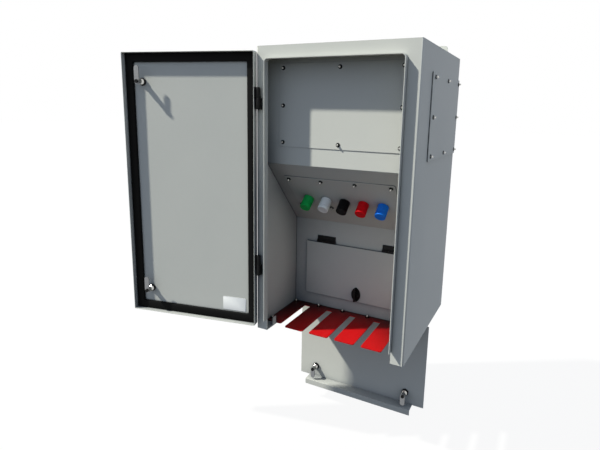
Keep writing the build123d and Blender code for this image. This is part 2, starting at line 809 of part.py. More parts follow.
# Door gasket: foam strip round the inside of the tray, which the sealing lips meet
gasket_half = door_half - sheet - gasket_edge_gap
gasket_height = door_height - 2 * (sheet + gasket_edge_gap)
with BuildPart() as door_gasket:
    with BuildSketch(Plane.XZ.offset(-door_inner_y)):
        with Locations((0, door_mid_z)):
            RectangleRounded(2 * gasket_half, gasket_height, door_corner)
            Rectangle(
                2 * (gasket_half - gasket_width),
                gasket_height - 2 * gasket_width,
                mode=Mode.SUBTRACT,
            )
    extrude(amount=-gasket_thickness)
door_gasket.part.label = "door_gasket"
export_step(door_gasket.part.moved(door_open), "parts/door_gasket.step")

# Door hinges: the frame's halves are screwed to the front flange, the door's halves to the rim
hinge_half_height = (hinge_height - hinge_half_gap) / 2
hinge_leaf_left = -half_width + hinge_leaf_edge_gap
hinge_leaf_right = -door_half - hinge_leaf_edge_gap
hinge_pin_length = hinge_height - 2 * hinge_pin_end_wall
hinge_leaf_depth = hinge_from_face + hinge_barrel_radius - door_rim_gap
with BuildPart() as door_hinge_frames:
    for hinge_z in hinge_zs:
        with BuildSketch(Plane.XY.offset(hinge_z - hinge_height / 2)):
            with Locations((hinge_leaf_left, face_y)):
                Rectangle(
                    hinge_leaf_right - hinge_leaf_left,
                    hinge_leaf_thickness,
                    align=(Align.MIN, Align.MAX),
                )
            with Locations((hinge_x, face_y)):
                Rectangle(2 * hinge_barrel_radius, hinge_from_face, align=(Align.CENTER, Align.MAX))
            with Locations((hinge_x, hinge_y)):
                Circle(hinge_barrel_radius)
        extrude(amount=hinge_half_height)
        with Locations((hinge_x, hinge_y, hinge_z - hinge_height / 2 + hinge_pin_end_wall)):
            Cylinder(hinge_pin_radius + hinge_pin_fit, hinge_half_height, align=upward, mode=Mode.SUBTRACT)
door_hinge_frames.part.label = "door_hinge_frames"
export_step(door_hinge_frames.part, "parts/door_hinge_frames.step")

with BuildPart() as door_hinge_pins:
    with Locations(*[(hinge_x, hinge_y, hinge_z) for hinge_z in hinge_zs]):
        Cylinder(hinge_pin_radius, hinge_pin_length)
door_hinge_pins.part.label = "door_hinge_pins"
export_step(door_hinge_pins.part, "parts/door_hinge_pins.step")

with BuildPart() as door_hinge_leaves:
    for hinge_z in hinge_zs:
        with BuildSketch(Plane.XY.offset(hinge_z + hinge_height / 2)):
            with Locations((-door_half, face_y - door_rim_gap)):
                Rectangle(hinge_leaf_thickness, hinge_leaf_depth, align=(Align.MAX, Align.MAX))
            with Locations((hinge_x, hinge_y)):
                Rectangle(-door_half - hinge_x, hinge_barrel_radius, align=(Align.MIN, Align.CENTER))
                Circle(hinge_barrel_radius)
        extrude(amount=-hinge_half_height)
        with Locations((hinge_x, hinge_y, hinge_z + hinge_height / 2 - hinge_pin_end_wall)):
            Cylinder(hinge_pin_radius + hinge_pin_fit, hinge_half_height, align=downward, mode=Mode.SUBTRACT)
door_hinge_leaves.part.label = "door_hinge_leaves"
export_step(door_hinge_leaves.part.moved(door_open), "parts/door_hinge_leaves.step")

# Quarter-turn latches. A latch's plane lies on the inner face of its sheet: local z points inwards,
# local x is the way the cam points when released.
door_latch_planes = {
    name: Plane(origin=(door_latch_x, door_inner_y, latch_z), x_dir=(0, 0, 1), z_dir=(0, 1, 0))
    for name, latch_z in door_latches.items()
}
flap_latch_planes = {
    "flap_latch_left_cam": Plane(
        origin=(-flap_latch_x, flap_latch_y, flap_top_z), x_dir=(0, -1, 0), z_dir=(0, 0, 1)
    ),
    "flap_latch_right_cam": Plane(
        origin=(flap_latch_x, flap_latch_y, flap_top_z), x_dir=(0, -1, 0), z_dir=(0, 0, 1)
    ),
}
latch_sets = {
    "door_latch_housings": (door_latch_planes, latch_cam_length, door_open),
    "flap_latch_housings": (flap_latch_planes, flap_cam_length, flap_open),
}
latch_outer_z = -sheet - latch_flange_height
latch_cam_top = latch_cam_standoff + latch_cam_thickness
for housings_name, (latch_planes, cam_length, swing) in latch_sets.items():
    cam_span = cam_length - latch_cam_width / 2
    # Housings: flange outside the sheet, threaded barrel through it, nut inside
    with BuildPart() as latch_housings:
        for latch_plane in latch_planes.values():
            with Locations(latch_plane.offset(-sheet)):
                Cylinder(latch_flange_radius, latch_flange_height, align=downward)
                Cylinder(latch_barrel_radius, sheet + latch_barrel_length, align=upward)
            with BuildSketch(latch_plane):
                RegularPolygon(latch_nut_flats / 2, 6, major_radius=False)
            extrude(amount=latch_nut_height)
        for latch_plane in latch_planes.values():
            with Locations(latch_plane.offset(latch_outer_z)):
                Cylinder(
                    latch_spindle_radius + latch_spindle_fit,
                    latch_barrel_length - latch_outer_z,
                    align=upward,
                    mode=Mode.SUBTRACT,
                )
    latch_housings.part.label = housings_name
    export_step(latch_housings.part.moved(swing), f"parts/{housings_name}.step")

    # Cams: a spindle through the housing, with a bar clamped on its inner end by a hexagon screw
    for name, latch_plane in latch_planes.items():
        with BuildPart() as latch_cam:
            with Locations(latch_plane.offset(latch_outer_z)):
                Cylinder(latch_spindle_radius, latch_cam_standoff - latch_outer_z, align=upward)
                Box(2 * latch_spindle_radius, latch_slot_width, 2 * latch_slot_depth, mode=Mode.SUBTRACT)
            with Locations(latch_plane.offset(latch_cam_standoff)):
                Cylinder(
                    latch_shoulder_radius,
                    latch_cam_standoff - latch_barrel_length - latch_shoulder_gap,
                    align=downward,
                )
            with BuildSketch(latch_plane.offset(latch_cam_standoff)):
                with Locations((cam_span / 2, 0)):
                    SlotCenterToCenter(cam_span, latch_cam_width)
            extrude(amount=latch_cam_thickness)
            with BuildSketch(latch_plane.offset(latch_cam_top)):
                RegularPolygon(latch_screw_flats / 2, 6, major_radius=False)
            extrude(amount=latch_screw_height)
        latch_cam.part.label = name
        export_step(latch_cam.part.moved(swing), f"parts/{name}.step")

# Access door: shallow pan over the lower opening of the barrier
access_rim_y = lower_y - access_gap
access_front_y = access_rim_y - access_depth
access_latch_z = access_bottom_z + access_latch_rise
with BuildPart() as access_door:
    with BuildSketch(Plane.XZ.offset(-access_front_y)):
        with Locations((0, access_mid_z)):
            Rectangle(access_width, access_height)
    extrude(amount=-access_depth)
    offset(amount=-sheet, openings=access_door.faces().sort_by(Axis.Y)[-1], kind=Kind.INTERSECTION)
    with BuildSketch(Plane.XZ.offset(-access_front_y)):
        with Locations((0, access_latch_z)):
            Circle(access_barrel_outer + latch_barrel_fit)
    extrude(amount=-(sheet + overrun), mode=Mode.SUBTRACT)
access_door.part.label = "access_door"
export_step(access_door.part, "parts/access_door.step")

# Access hinges: two outer knuckles on the barrier's leaf, the middle one on a leaf along the door's rim
access_axis_y = access_front_y + access_hinge_setback
access_axis_z = access_top_z + access_hinge_rise
access_knuckle = access_hinge_width / 3
access_hinge_center = access_width / 2 - access_hinge_inset
access_hinge_xs = (-access_hinge_center, access_hinge_center)
access_leaf_foot_z = access_axis_z + access_barrel_radius + access_leaf_gap
with BuildPart() as access_hinge_frames:
    for hinge_center in access_hinge_xs:
        with BuildSketch(Plane.YZ.offset(hinge_center - access_hinge_width / 2)):
            with Locations((lower_y, access_leaf_foot_z)):
                Rectangle(access_leaf_thickness, access_leaf_height, align=(Align.MAX, Align.MIN))
        extrude(amount=access_hinge_width)
        for knuckle_x in (hinge_center - access_hinge_width / 2, hinge_center + access_hinge_width / 6):
            with BuildSketch(Plane.YZ.offset(knuckle_x)):
                with Locations((access_axis_y, access_axis_z)):
                    Circle(access_barrel_radius)
                    Rectangle(
                        lower_y - access_axis_y,
                        access_leaf_foot_z + access_leaf_thickness - access_axis_z,
                        align=(Align.MIN, Align.MIN),
                    )
            extrude(amount=access_knuckle - access_knuckle_gap * (knuckle_x < hinge_center - access_knuckle))
        with Locations(Location((hinge_center, access_axis_y, access_axis_z), (0, 90, 0))):
            Cylinder(access_pin_radius + access_pin_fit, access_hinge_width + overrun, mode=Mode.SUBTRACT)
access_hinge_frames.part.label = "access_hinge_frames"
export_step(access_hinge_frames.part, "parts/access_hinge_frames.step")

with BuildPart() as access_hinge_pins:
    with Locations(*[Location((x, access_axis_y, access_axis_z), (0, 90, 0)) for x in access_hinge_xs]):
        Cylinder(access_pin_radius, access_hinge_width)
access_hinge_pins.part.label = "access_hinge_pins"
export_step(access_hinge_pins.part, "parts/access_hinge_pins.step")

access_middle_knuckle = access_knuckle - 2 * access_knuckle_gap
with BuildPart() as access_hinge_leaves:
    for hinge_center in access_hinge_xs:
        with BuildSketch(Plane.YZ.offset(hinge_center - access_hinge_width / 2)):
            with Locations((access_front_y, access_top_z)):
                Rectangle(access_depth, access_leaf_thickness, align=(Align.MIN, Align.MIN))
        extrude(amount=access_hinge_width)
        with BuildSketch(Plane.YZ.offset(hinge_center - access_middle_knuckle / 2)):
            with Locations((access_axis_y, access_axis_z)):
                Circle(access_barrel_radius)
                Rectangle(
                    2 * access_barrel_radius,
                    access_hinge_rise - access_leaf_thickness,
                    align=(Align.CENTER, Align.MAX),
                )
        extrude(amount=access_middle_knuckle)
        with Locations(Location((hinge_center, access_axis_y, access_axis_z), (0, 90, 0))):
            Cylinder(access_pin_radius + access_pin_fit, access_hinge_width, mode=Mode.SUBTRACT)
access_hinge_leaves.part.label = "access_hinge_leaves"
export_step(access_hinge_leaves.part, "parts/access_hinge_leaves.step")

# Access latch: pointed oval escutcheon with a barrel through the door, and a wing that turns the cam behind
access_latch_plane = Plane(origin=(0, access_front_y, access_latch_z), x_dir=(1, 0, 0), z_dir=(0, 1, 0))
access_hub_z = -access_escutcheon_thickness - access_hub_gap
access_cam_z = lower_y + sheet + access_cam_gap - access_front_y
with BuildPart() as access_latch_housing:
    with BuildSketch(access_latch_plane):
        with BuildLine():
            for side in (-1, 1):
                ThreePointArc(
                    (0, -access_escutcheon_height / 2),
                    (side * access_escutcheon_width / 2, 0),
                    (0, access_escutcheon_height / 2),
                )
        make_face()
    extrude(amount=-access_escutcheon_thickness)
    with Locations(access_latch_plane):
        Cylinder(access_barrel_outer, access_barrel_length, align=upward)
        Cylinder(
            access_spindle_radius + latch_spindle_fit,
            2 * (access_barrel_length + access_escutcheon_thickness),
            mode=Mode.SUBTRACT,
        )
access_latch_housing.part.label = "access_latch_housing"
export_step(access_latch_housing.part, "parts/access_latch_housing.step")

with BuildPart() as access_latch_wing:
    with Locations(access_latch_plane.offset(access_hub_z)):
        Cylinder(access_hub_radius, access_hub_height, align=downward)
        Cylinder(access_spindle_radius, access_cam_z - access_hub_z, align=upward)
    with BuildSketch(access_latch_plane.offset(access_hub_z)):
        RectangleRounded(access_wing_width, access_wing_length, access_wing_corner)
    extrude(amount=-access_wing_height)
    with BuildSketch(access_latch_plane.offset(access_cam_z)):
        with Locations(((access_cam_length - access_cam_width / 2) / 2, 0)):
            SlotCenterToCenter(access_cam_length - access_cam_width / 2, access_cam_width)
    extrude(amount=access_cam_thickness)
access_latch_wing.part.label = "access_latch_wing"
export_step(access_latch_wing.part, "parts/access_latch_wing.step")

# Bottom flap: flat plate with a narrower front flange and the bottom of the sealing lip
with BuildPart() as bottom_flap:
    with BuildSketch(Plane.XY.offset(flap_bottom_z)):
        with Locations((0, face_y)):
            Rectangle(cabinet_width, flap_rear_y - face_y, align=(Align.CENTER, Align.MIN))
        with Locations((-flap_latch_x, flap_latch_y), (flap_latch_x, flap_latch_y)):
            Circle(latch_barrel_radius + latch_barrel_fit, mode=Mode.SUBTRACT)
    extrude(amount=sheet)
    with BuildSketch(Plane.YZ.offset(-flap_flange_x)):
        with BuildLine():
            Polyline(
                (face_y, flap_bottom_z),
                (face_y, lip_bottom_z - sheet),
                (lip_y, lip_bottom_z - sheet),
            )
            offset(amount=sheet, side=Side.RIGHT, kind=Kind.INTERSECTION)
        make_face()
    extrude(amount=2 * flap_flange_x)
bottom_flap.part.label = "bottom_flap"
export_step(bottom_flap.part.moved(flap_open), "parts/bottom_flap.step")

# Flap hinge: a long knuckled hinge, one leaf under the rear floor, the other under the flap
flap_knuckle = flap_hinge_width / flap_knuckle_count
flap_knuckle_xs = [-flap_hinge_width / 2 + k * flap_knuckle for k in range(flap_knuckle_count)]
with BuildPart() as flap_hinge_frame:
    with BuildSketch(Plane.YZ.offset(-flap_hinge_width / 2)):
        with Locations((flap_axis_y, floor_z)):
            Rectangle(flap_leaf_length, flap_leaf_thickness, align=(Align.MIN, Align.MAX))
    extrude(amount=flap_hinge_width)
    for knuckle_x in flap_knuckle_xs[0::2]:
        with BuildSketch(Plane.YZ.offset(knuckle_x)):
            with Locations((flap_axis_y, flap_axis_z)):
                Circle(flap_barrel_radius)
                Rectangle(flap_barrel_radius, flap_hinge_drop, align=(Align.MIN, Align.MIN))
        extrude(amount=flap_knuckle - flap_knuckle_gap)
    with Locations(Location((0, flap_axis_y, flap_axis_z), (0, 90, 0))):
        Cylinder(flap_pin_radius + flap_pin_fit, flap_hinge_width + overrun, mode=Mode.SUBTRACT)
flap_hinge_frame.part.label = "flap_hinge_frame"
export_step(flap_hinge_frame.part, "parts/flap_hinge_frame.step")

with BuildPart() as flap_hinge_pin:
    with Locations(Location((0, flap_axis_y, flap_axis_z), (0, 90, 0))):
        Cylinder(flap_pin_radius, flap_hinge_width)
flap_hinge_pin.part.label = "flap_hinge_pin"
export_step(flap_hinge_pin.part, "parts/flap_hinge_pin.step")

flap_leaf_rear_y = flap_axis_y - flap_barrel_radius - flap_gap
with BuildPart() as flap_hinge_leaf:
    with BuildSketch(Plane.YZ.offset(-flap_hinge_width / 2)):
        with Locations((flap_leaf_rear_y, flap_bottom_z)):
            Rectangle(flap_leaf_length, flap_leaf_thickness, align=(Align.MAX, Align.MAX))
    extrude(amount=flap_hinge_width)
    for knuckle_x in flap_knuckle_xs[1::2]:
        with BuildSketch(Plane.YZ.offset(knuckle_x)):
            with Locations((flap_axis_y, flap_bottom_z)):
                Rectangle(
                    flap_axis_y - flap_leaf_rear_y + flap_leaf_thickness,
                    flap_leaf_thickness,
                    align=(Align.MAX, Align.MAX),
                )
            with Locations((flap_axis_y, flap_axis_z)):
                Circle(flap_barrel_radius)
        extrude(amount=flap_knuckle - flap_knuckle_gap)
    with Locations(Location((0, flap_axis_y, flap_axis_z), (0, 90, 0))):
        Cylinder(flap_pin_radius + flap_pin_fit, flap_hinge_width + overrun, mode=Mode.SUBTRACT)
flap_hinge_leaf.part.label = "flap_hinge_leaf"
export_step(flap_hinge_leaf.part.moved(flap_open), "parts/flap_hinge_leaf.step")
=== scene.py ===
"""Generator tap box, dressed: powder-coated steel cabinet with its door and bottom flap open."""
import json
from math import acos, asin, cos, pi, radians, sin

import bmesh
import bpy
from mathutils import Matrix, Vector


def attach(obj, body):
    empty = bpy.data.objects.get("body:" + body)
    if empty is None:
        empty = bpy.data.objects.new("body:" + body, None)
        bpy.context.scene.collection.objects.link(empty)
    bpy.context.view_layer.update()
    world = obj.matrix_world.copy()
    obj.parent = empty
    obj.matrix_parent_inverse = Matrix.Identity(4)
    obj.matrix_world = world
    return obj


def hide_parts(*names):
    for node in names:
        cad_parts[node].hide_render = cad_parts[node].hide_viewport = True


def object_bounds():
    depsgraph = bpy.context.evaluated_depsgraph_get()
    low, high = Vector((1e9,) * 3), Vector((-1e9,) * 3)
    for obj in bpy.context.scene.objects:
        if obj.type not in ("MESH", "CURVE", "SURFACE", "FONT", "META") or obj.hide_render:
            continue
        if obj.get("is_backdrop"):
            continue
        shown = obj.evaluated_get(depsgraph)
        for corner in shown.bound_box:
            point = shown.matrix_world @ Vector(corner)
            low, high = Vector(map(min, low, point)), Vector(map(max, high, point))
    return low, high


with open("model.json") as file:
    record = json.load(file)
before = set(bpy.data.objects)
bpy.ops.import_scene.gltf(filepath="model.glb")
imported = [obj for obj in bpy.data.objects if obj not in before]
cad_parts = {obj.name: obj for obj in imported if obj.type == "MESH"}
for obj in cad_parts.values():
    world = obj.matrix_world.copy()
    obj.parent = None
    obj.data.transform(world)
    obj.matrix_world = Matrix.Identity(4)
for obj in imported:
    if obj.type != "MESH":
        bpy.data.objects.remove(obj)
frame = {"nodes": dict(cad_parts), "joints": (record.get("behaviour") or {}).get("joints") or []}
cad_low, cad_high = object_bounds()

# View. The box hangs at chest height and is looked at from the front right, a little from above,
# with a wide lens close by, so that the door on the left and the right side both show.
camera_place = Vector((0.57007, -1.72356, 0.26704))
camera_turn = (radians(79.0425), radians(-1.2441), radians(27.114))
camera_sensor = 36.0
camera_lens = 27.5978
camera_shift = (-0.02609, -0.04107)

camera = bpy.data.objects.new("camera", bpy.data.cameras.new("camera"))
bpy.context.scene.collection.objects.link(camera)
camera.location = camera_place
camera.rotation_euler = camera_turn
camera.data.sensor_width = camera_sensor
camera.data.lens = camera_lens
camera.data.shift_x, camera.data.shift_y = camera_shift
bpy.context.scene.camera = camera
bpy.context.scene.view_settings.view_transform = "Standard"


# Cabinet shell: wrap, roof, rear floor, wall ears, folded barrier, flat covers, both doors and the flap.
# Bent from 2 mm steel sheet and welded or screwed together, then powder coated light grey: the coat has
# a fine orange peel and rounds the sheared edges. Its colour carries painted shade in the joints and
# deep in the lower bay.
class Wire:
    """One output in a material's nodes. Arithmetic on it adds Math nodes."""

    def __init__(self, tree, socket=None):
        self.tree = tree
        self.socket = socket

    def node(self, kind, settings=None, inputs=None, out=0):
        """A new node with its settings made first, then its sockets set or linked."""
        made = self.tree.nodes.new("ShaderNode" + kind)
        for name, value in (settings or {}).items():
            setattr(made, name, value)
        for name, value in (inputs or {}).items():
            if isinstance(value, Wire):
                self.tree.links.new(value.socket, made.inputs[name])
            else:
                made.inputs[name].default_value = value
        return Wire(self.tree, made.outputs[out])

    def math(self, operation, *terms):
        """A Math node on wires and numbers."""
        return self.node("Math", {"operation": operation}, dict(enumerate(terms)))

    def into(self, shader, socket):
        """Links this output to a socket of a shader."""
        self.tree.links.new(self.socket, shader.inputs[socket])

    def __add__(self, other):
        return self.math("ADD", self, other)

    def __radd__(self, other):
        return self.math("ADD", other, self)

    def __mul__(self, other):
        return self.math("MULTIPLY", self, other)

    def __rmul__(self, other):
        return self.math("MULTIPLY", other, self)


def colour(red, green, blue):
    """A linear colour from the 0 to 255 values that a paint chart gives."""
    parts = []
    for value in (red, green, blue):
        share = value / 255
        parts.append(share / 12.92 if share <= 0.04045 else ((share + 0.055) / 1.055) ** 2.4)
    return (*parts, 1.0)


def new_finish(name):
    """A material, its shader, and the wire of object coordinates that its textures start from."""
    material = bpy.data.materials.new(name)
    material.use_nodes = True
    tree = material.node_tree
    shader = tree.nodes["Principled BSDF"]
    place = Wire(tree).node("TexCoord", out=3)
    return material, shader, place


def noise(place, scale, detail, roughness=0.5):
    """Grain of about 1/scale metres, with finer grain added by detail and roughness."""
    sockets = {"Vector": place, "Scale": scale, "Detail": detail, "Roughness": roughness}
    return place.node("TexNoise", None, sockets)


def mixed(factor, first, second):
    """A colour between two, by a factor from 0 to 1."""
    settings = {"data_type": "RGBA", "clamp_factor": True}
    return factor.node("Mix", settings, {0: factor, 6: first, 7: second}, out=2)


def openness(place, reach):
    """1 on open faces, falling towards 0 where other faces stand within reach."""
    return place.node("AmbientOcclusion", {"samples": openness_samples}, {"Distance": reach}, out=1)


def bumped(height, strength, depth, shader):
    """Raises the surface by a height wire."""
    sockets = {"Strength": strength, "Distance": depth, "Height": height}
    height.node("Bump", None, sockets).into(shader, "Normal")


MM = 0.001
paint_light = colour(198, 199, 192)
paint_dark = colour(188, 190, 184)
paint_peel = (620.0, 1.0)
paint_speck = (95.0, 3.0, 0.7)
paint_cloud = (5.0, 4.0)
cloud_share = 0.7
paint_roughness = 0.42
roughness_by_cloud = 0.12
roughness_by_speck = 0.06
peel_strength = 0.22
peel_depth = 0.12 * MM
paint_shine = 0.25
paint_edge = 0.7 * MM
edge_segments = 2
edge_least_turn = radians(40)
openness_samples = 8
# Painted shade in joints and narrow gaps, where other faces stand within this reach.
joint_shade_reach = 9.0 * MM
painted_joint_shade = colour(48, 50, 52)
joint_shade_slope = 3.0
joint_shade_start = -1.1
# Painted shade deep in the lower bay: a cool dark grey where little is open within this reach, fading
# out higher up.
bay_shade_reach = 170.0 * MM
painted_bay_shade = colour(94, 100, 107)
bay_shade_slope = 1.7
bay_shade_start = -0.35
bay_shade_fade = 2.4
weld_reach = 0.01 * MM

grey_paint, shader, place = new_finish("grey_paint")
cloud = noise(place, *paint_cloud)
peel = noise(place, *paint_peel)
speck = noise(place, *paint_speck)
coat = mixed(cloud * cloud_share + speck * (1 - cloud_share), paint_dark, paint_light)
bay_shade_openness = openness(place, bay_shade_reach)
joint_shade_openness = openness(place, joint_shade_reach)
height = place.node("SeparateXYZ", None, {"Vector": place}, out=2)
height_for_bay_shade = height.math("MAXIMUM", height, 0.0)
# Painted shade: the coat turns towards the cool dark grey deep in the lower bay.
coat = mixed(bay_shade_openness * bay_shade_slope + height_for_bay_shade * bay_shade_fade + bay_shade_start, painted_bay_shade, coat)
# Painted shade: the colour goes dark grey in joints and narrow gaps.
mixed(joint_shade_openness * joint_shade_slope + joint_shade_start, painted_joint_shade, coat).into(shader, "Base Color")
(paint_roughness + roughness_by_cloud * cloud + roughness_by_speck * speck).into(shader, "Roughness")
bumped(peel, peel_strength, peel_depth, shader)
shader.inputs["Specular IOR Level"].default_value = paint_shine


def finish_node(material, *nodes, edge=0.0):
    """Gives CAD nodes a finish and, where a width is given, soft edges on their welded meshes."""
    for node in nodes:
        part = frame["nodes"][node]
        part.data.materials.clear()
        part.data.materials.append(material)
        if edge:
            part.modifiers.new("weld", "WELD").merge_threshold = weld_reach
            bevel = part.modifiers.new("edge", "BEVEL")
            bevel.width = edge
            bevel.segments = edge_segments
            bevel.limit_method = "ANGLE"
            bevel.angle_limit = edge_least_turn
            bevel.harden_normals = True
            bevel.loop_slide = False


finish_node(
    grey_paint,
    "enclosure_wrap",
    "roof_panel",
    "rear_floor",
    "wall_ears",
    "inner_barrier",
    "dead_front_cover",
    "inlet_plate",
    "side_cover",
    "door_tray",
    "access_door",
    "bottom_flap",
    edge=paint_edge,
)

# Cover screws: zinc-plated domed heads with a cross recess, each on a black sealing washer, round every
# screwed cover and along the cable comb. Cold-headed, so the dome runs smoothly out of the head's side.
zinc_light = colour(214, 214, 210)
zinc_dark = colour(164, 165, 163)
zinc_grain = (240.0, 4.0, 0.65)
zinc_gloss = (0.16, 0.2)
rubber_light = colour(12, 13, 13)
rubber_dark = colour(6, 6, 7)
rubber_grain = (700.0, 3.0, 0.6)
rubber_gloss = (0.66, 0.2)
rubber_relief = (0.3, 0.2 * MM)
rubber_shine = 0.1
washer_radius = 6.5 * MM
washer_height = 1.5 * MM
washer_round = 0.4 * MM
head_radius = 3.4 * MM
head_side = 3.2 * MM
head_top = 8.5 * MM
head_land = 1.8 * MM
shank_radius = 2.5 * MM
recess_reach = 1.5 * MM
recess_half_width = 0.45 * MM
recess_depth = 1.8 * MM
recess_taper = 0.55
dome_steps = 6
round_steps = 32
screw_turn = 0.6
same_point = 0.001 * MM
least_facing = 0.3
smooth_below = radians(35)


def grained(name, dark, light, grain, gloss, relief=None, metal=0.0, shine=0.5):
    """A finish whose colour, roughness and relief all follow one noise.

    grain is the noise's scale, detail and roughness, gloss the least roughness and its span,
    relief the bump's strength and depth.
    """
    material, shader, place = new_finish(name)
    speckle = noise(place, *grain)
    least, span = gloss
    mixed(speckle, dark, light).into(shader, "Base Color")
    (least + span * speckle).into(shader, "Roughness")
    if relief:
        bumped(speckle, *relief, shader)
    shader.inputs["Metallic"].default_value = metal
    shader.inputs["Specular IOR Level"].default_value = shine
    return material


zinc = grained("zinc", zinc_dark, zinc_light, zinc_grain, zinc_gloss, metal=1.0)
gasket_rubber = grained(
    "gasket_rubber",
    rubber_dark,
    rubber_light,
    rubber_grain,
    rubber_gloss,
    relief=rubber_relief,
    shine=rubber_shine,
)


def solids(node):
    """The points of each separate solid in a CAD node, in order of their lowest x, then y, then z."""
    bm = bmesh.new()
    bm.from_mesh(frame["nodes"][node].data)
    bmesh.ops.remove_doubles(bm, verts=bm.verts, dist=same_point)
    left = set(bm.verts)
    found = []
    while left:
        stack = [left.pop()]
        points = []
        while stack:
            vert = stack.pop()
            points.append(vert.co.copy())
            for edge in vert.link_edges:
                other = edge.other_vert(vert)
                if other in left:
                    left.remove(other)
                    stack.append(other)
        found.append(points)
    bm.free()
    found.sort(key=lambda points: [round(min(p[k] for p in points), 4) for k in range(3)])
    return found


def facing(direction):
    """A frame whose local Z points in a direction, with local Y as far up as that leaves it."""
    return direction.to_track_quat("Z", "Y").to_matrix().to_4x4()


def extent(points, to_local):
    """Lowest and highest corner of points, seen in another frame."""
    seen = [to_local @ p for p in points]
    return (
        Vector([min(p[k] for p in seen) for k in range(3)]),
        Vector([max(p[k] for p in seen) for k in range(3)]),
    )


def ring(bm, radius, height, steps=round_steps):
    """A circle of points about the local Z axis."""
    angles = [2 * pi * k / steps for k in range(steps)]
    return [bm.verts.new((radius * cos(a), radius * sin(a), height)) for a in angles]


def skin(bm, lower, upper):
    """Faces between two closed rows of as many points."""
    count = len(lower)
    for k in range(count):
        bm.faces.new((lower[k], lower[(k + 1) % count], upper[(k + 1) % count], upper[k]))


def layered(bm, rows, bored=False):
    """Skins one row of points after another, and shuts the ends or joins them into a tube."""
    for lower, upper in zip(rows, rows[1:]):
        skin(bm, lower, upper)
    if bored:
        skin(bm, rows[-1], rows[0])
    else:
        bm.faces.new(list(reversed(rows[0])))
        bm.faces.new(rows[-1])


def turned(bm, outline, bored=False):
    """A turned solid from its (radius, height) outline."""
    layered(bm, [ring(bm, radius, height) for radius, height in outline], bored)


def domed_screw(grip):
    """One screw about the local Z axis, its washer's seat at height 0."""
    bm = bmesh.new()
    rows = [
        ring(bm, shank_radius, -grip),
        ring(bm, shank_radius, washer_height),
        ring(bm, head_radius, washer_height),
    ]
    for k in range(dome_steps + 1):
        swing = k / dome_steps * pi / 2
        radius = head_land + (head_radius - head_land) * cos(swing)
        rows.append(ring(bm, radius, head_side + (head_top - head_side) * sin(swing)))
    for lower, upper in zip(rows, rows[1:]):
        skin(bm, lower, upper)
    bm.faces.new(list(reversed(rows[0])))
    a, b = recess_half_width, recess_reach
    outline = [(b, -a), (b, a), (a, a), (a, b), (-a, b), (-a, a)]
    outline += [(-x, -y) for x, y in outline]
    mouth = [bm.verts.new((x, y, head_top)) for x, y in outline]
    taper = recess_taper
    recess_floor = head_top - recess_depth
    foot = [bm.verts.new((x * taper, y * taper, recess_floor)) for x, y in outline]
    skin(bm, foot, mouth)
    bm.faces.new(foot)
    mouth_edges = [bm.edges.get((mouth[k - 1], mouth[k])) for k in range(len(mouth))]
    land_edges = [bm.edges.get((rows[-1][k - 1], rows[-1][k])) for k in range(round_steps)]
    bmesh.ops.triangle_fill(bm, edges=mouth_edges + land_edges, use_beauty=True, normal=(0, 0, 1))
    return bm


def sealing_washer():
    """One washer about the local Z axis, with rounded outer edges."""
    bm = bmesh.new()
    outline = [
        (shank_radius, 0),
        (washer_radius - washer_round, 0),
        (washer_radius, washer_round),
        (washer_radius, washer_height - washer_round),
        (washer_radius - washer_round, washer_height),
        (shank_radius, washer_height),
    ]
    turned(bm, outline, bored=True)
    return bm


def stamped(pattern, places):
    """Copies of one mesh at several places, as one mesh."""
    mesh = bpy.data.meshes.new("pattern")
    pattern.to_mesh(mesh)
    pattern.free()
    bm = bmesh.new()
    for at in places:
        first = len(bm.verts)
        bm.from_mesh(mesh)
        bm.verts.ensure_lookup_table()
        bmesh.ops.transform(bm, matrix=at, verts=bm.verts[first:])
    return bm


def piece(name, bm, material, body, slot, *nodes):
    """Turns a finished mesh into a piece that rides on a body and may stand for CAD nodes."""
    bmesh.ops.recalc_face_normals(bm, faces=bm.faces)
    mesh = bpy.data.meshes.new(name)
    bm.to_mesh(mesh)
    bm.free()
    mesh.materials.append(material)
    mesh.shade_smooth()
    mesh.set_sharp_from_angle(angle=smooth_below)
    made = bpy.data.objects.new(name, mesh)
    bpy.context.scene.collection.objects.link(made)
    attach(made, body)
    if nodes:
        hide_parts(*nodes)


def face_direction(node, toward):
    """The normal of a plate's largest faces, on the side that looks toward a direction."""
    polygons = frame["nodes"][node].data.polygons
    seen = [p for p in polygons if p.normal.dot(toward) > least_facing]
    return max(seen, key=lambda p: p.area).normal.copy()


front = Vector((0, -1, 0))
up = Vector((0, 0, 1))
right = Vector((1, 0, 0))
slope_out = face_direction("inlet_plate", front)
screw_rows = {
    "dead_front_screws": front,
    "inlet_plate_screws": slope_out,
    "comb_screws": up,
    "side_cover_screws": right,
}
for node, direction in screw_rows.items():
    places = []
    frame_of = facing(direction)
    for k, points in enumerate(solids(node)):
        low, high = extent(points, frame_of.inverted())
        seat = Vector(((low.x + high.x) / 2, (low.y + high.y) / 2, high.z - head_top))
        grip = seat.z - low.z
        places.append(frame_of @ Matrix.Translation(seat) @ Matrix.Rotation(k * screw_turn, 4, "Z"))
    heads = stamped(domed_screw(grip), places)
    piece(node + "_heads", heads, zinc, "cabinet", "zinc", node)
    washers = stamped(sealing_washer(), places)
    piece(node + "_washers", washers, gasket_rubber, "cabinet", "gasket_rubber", node)

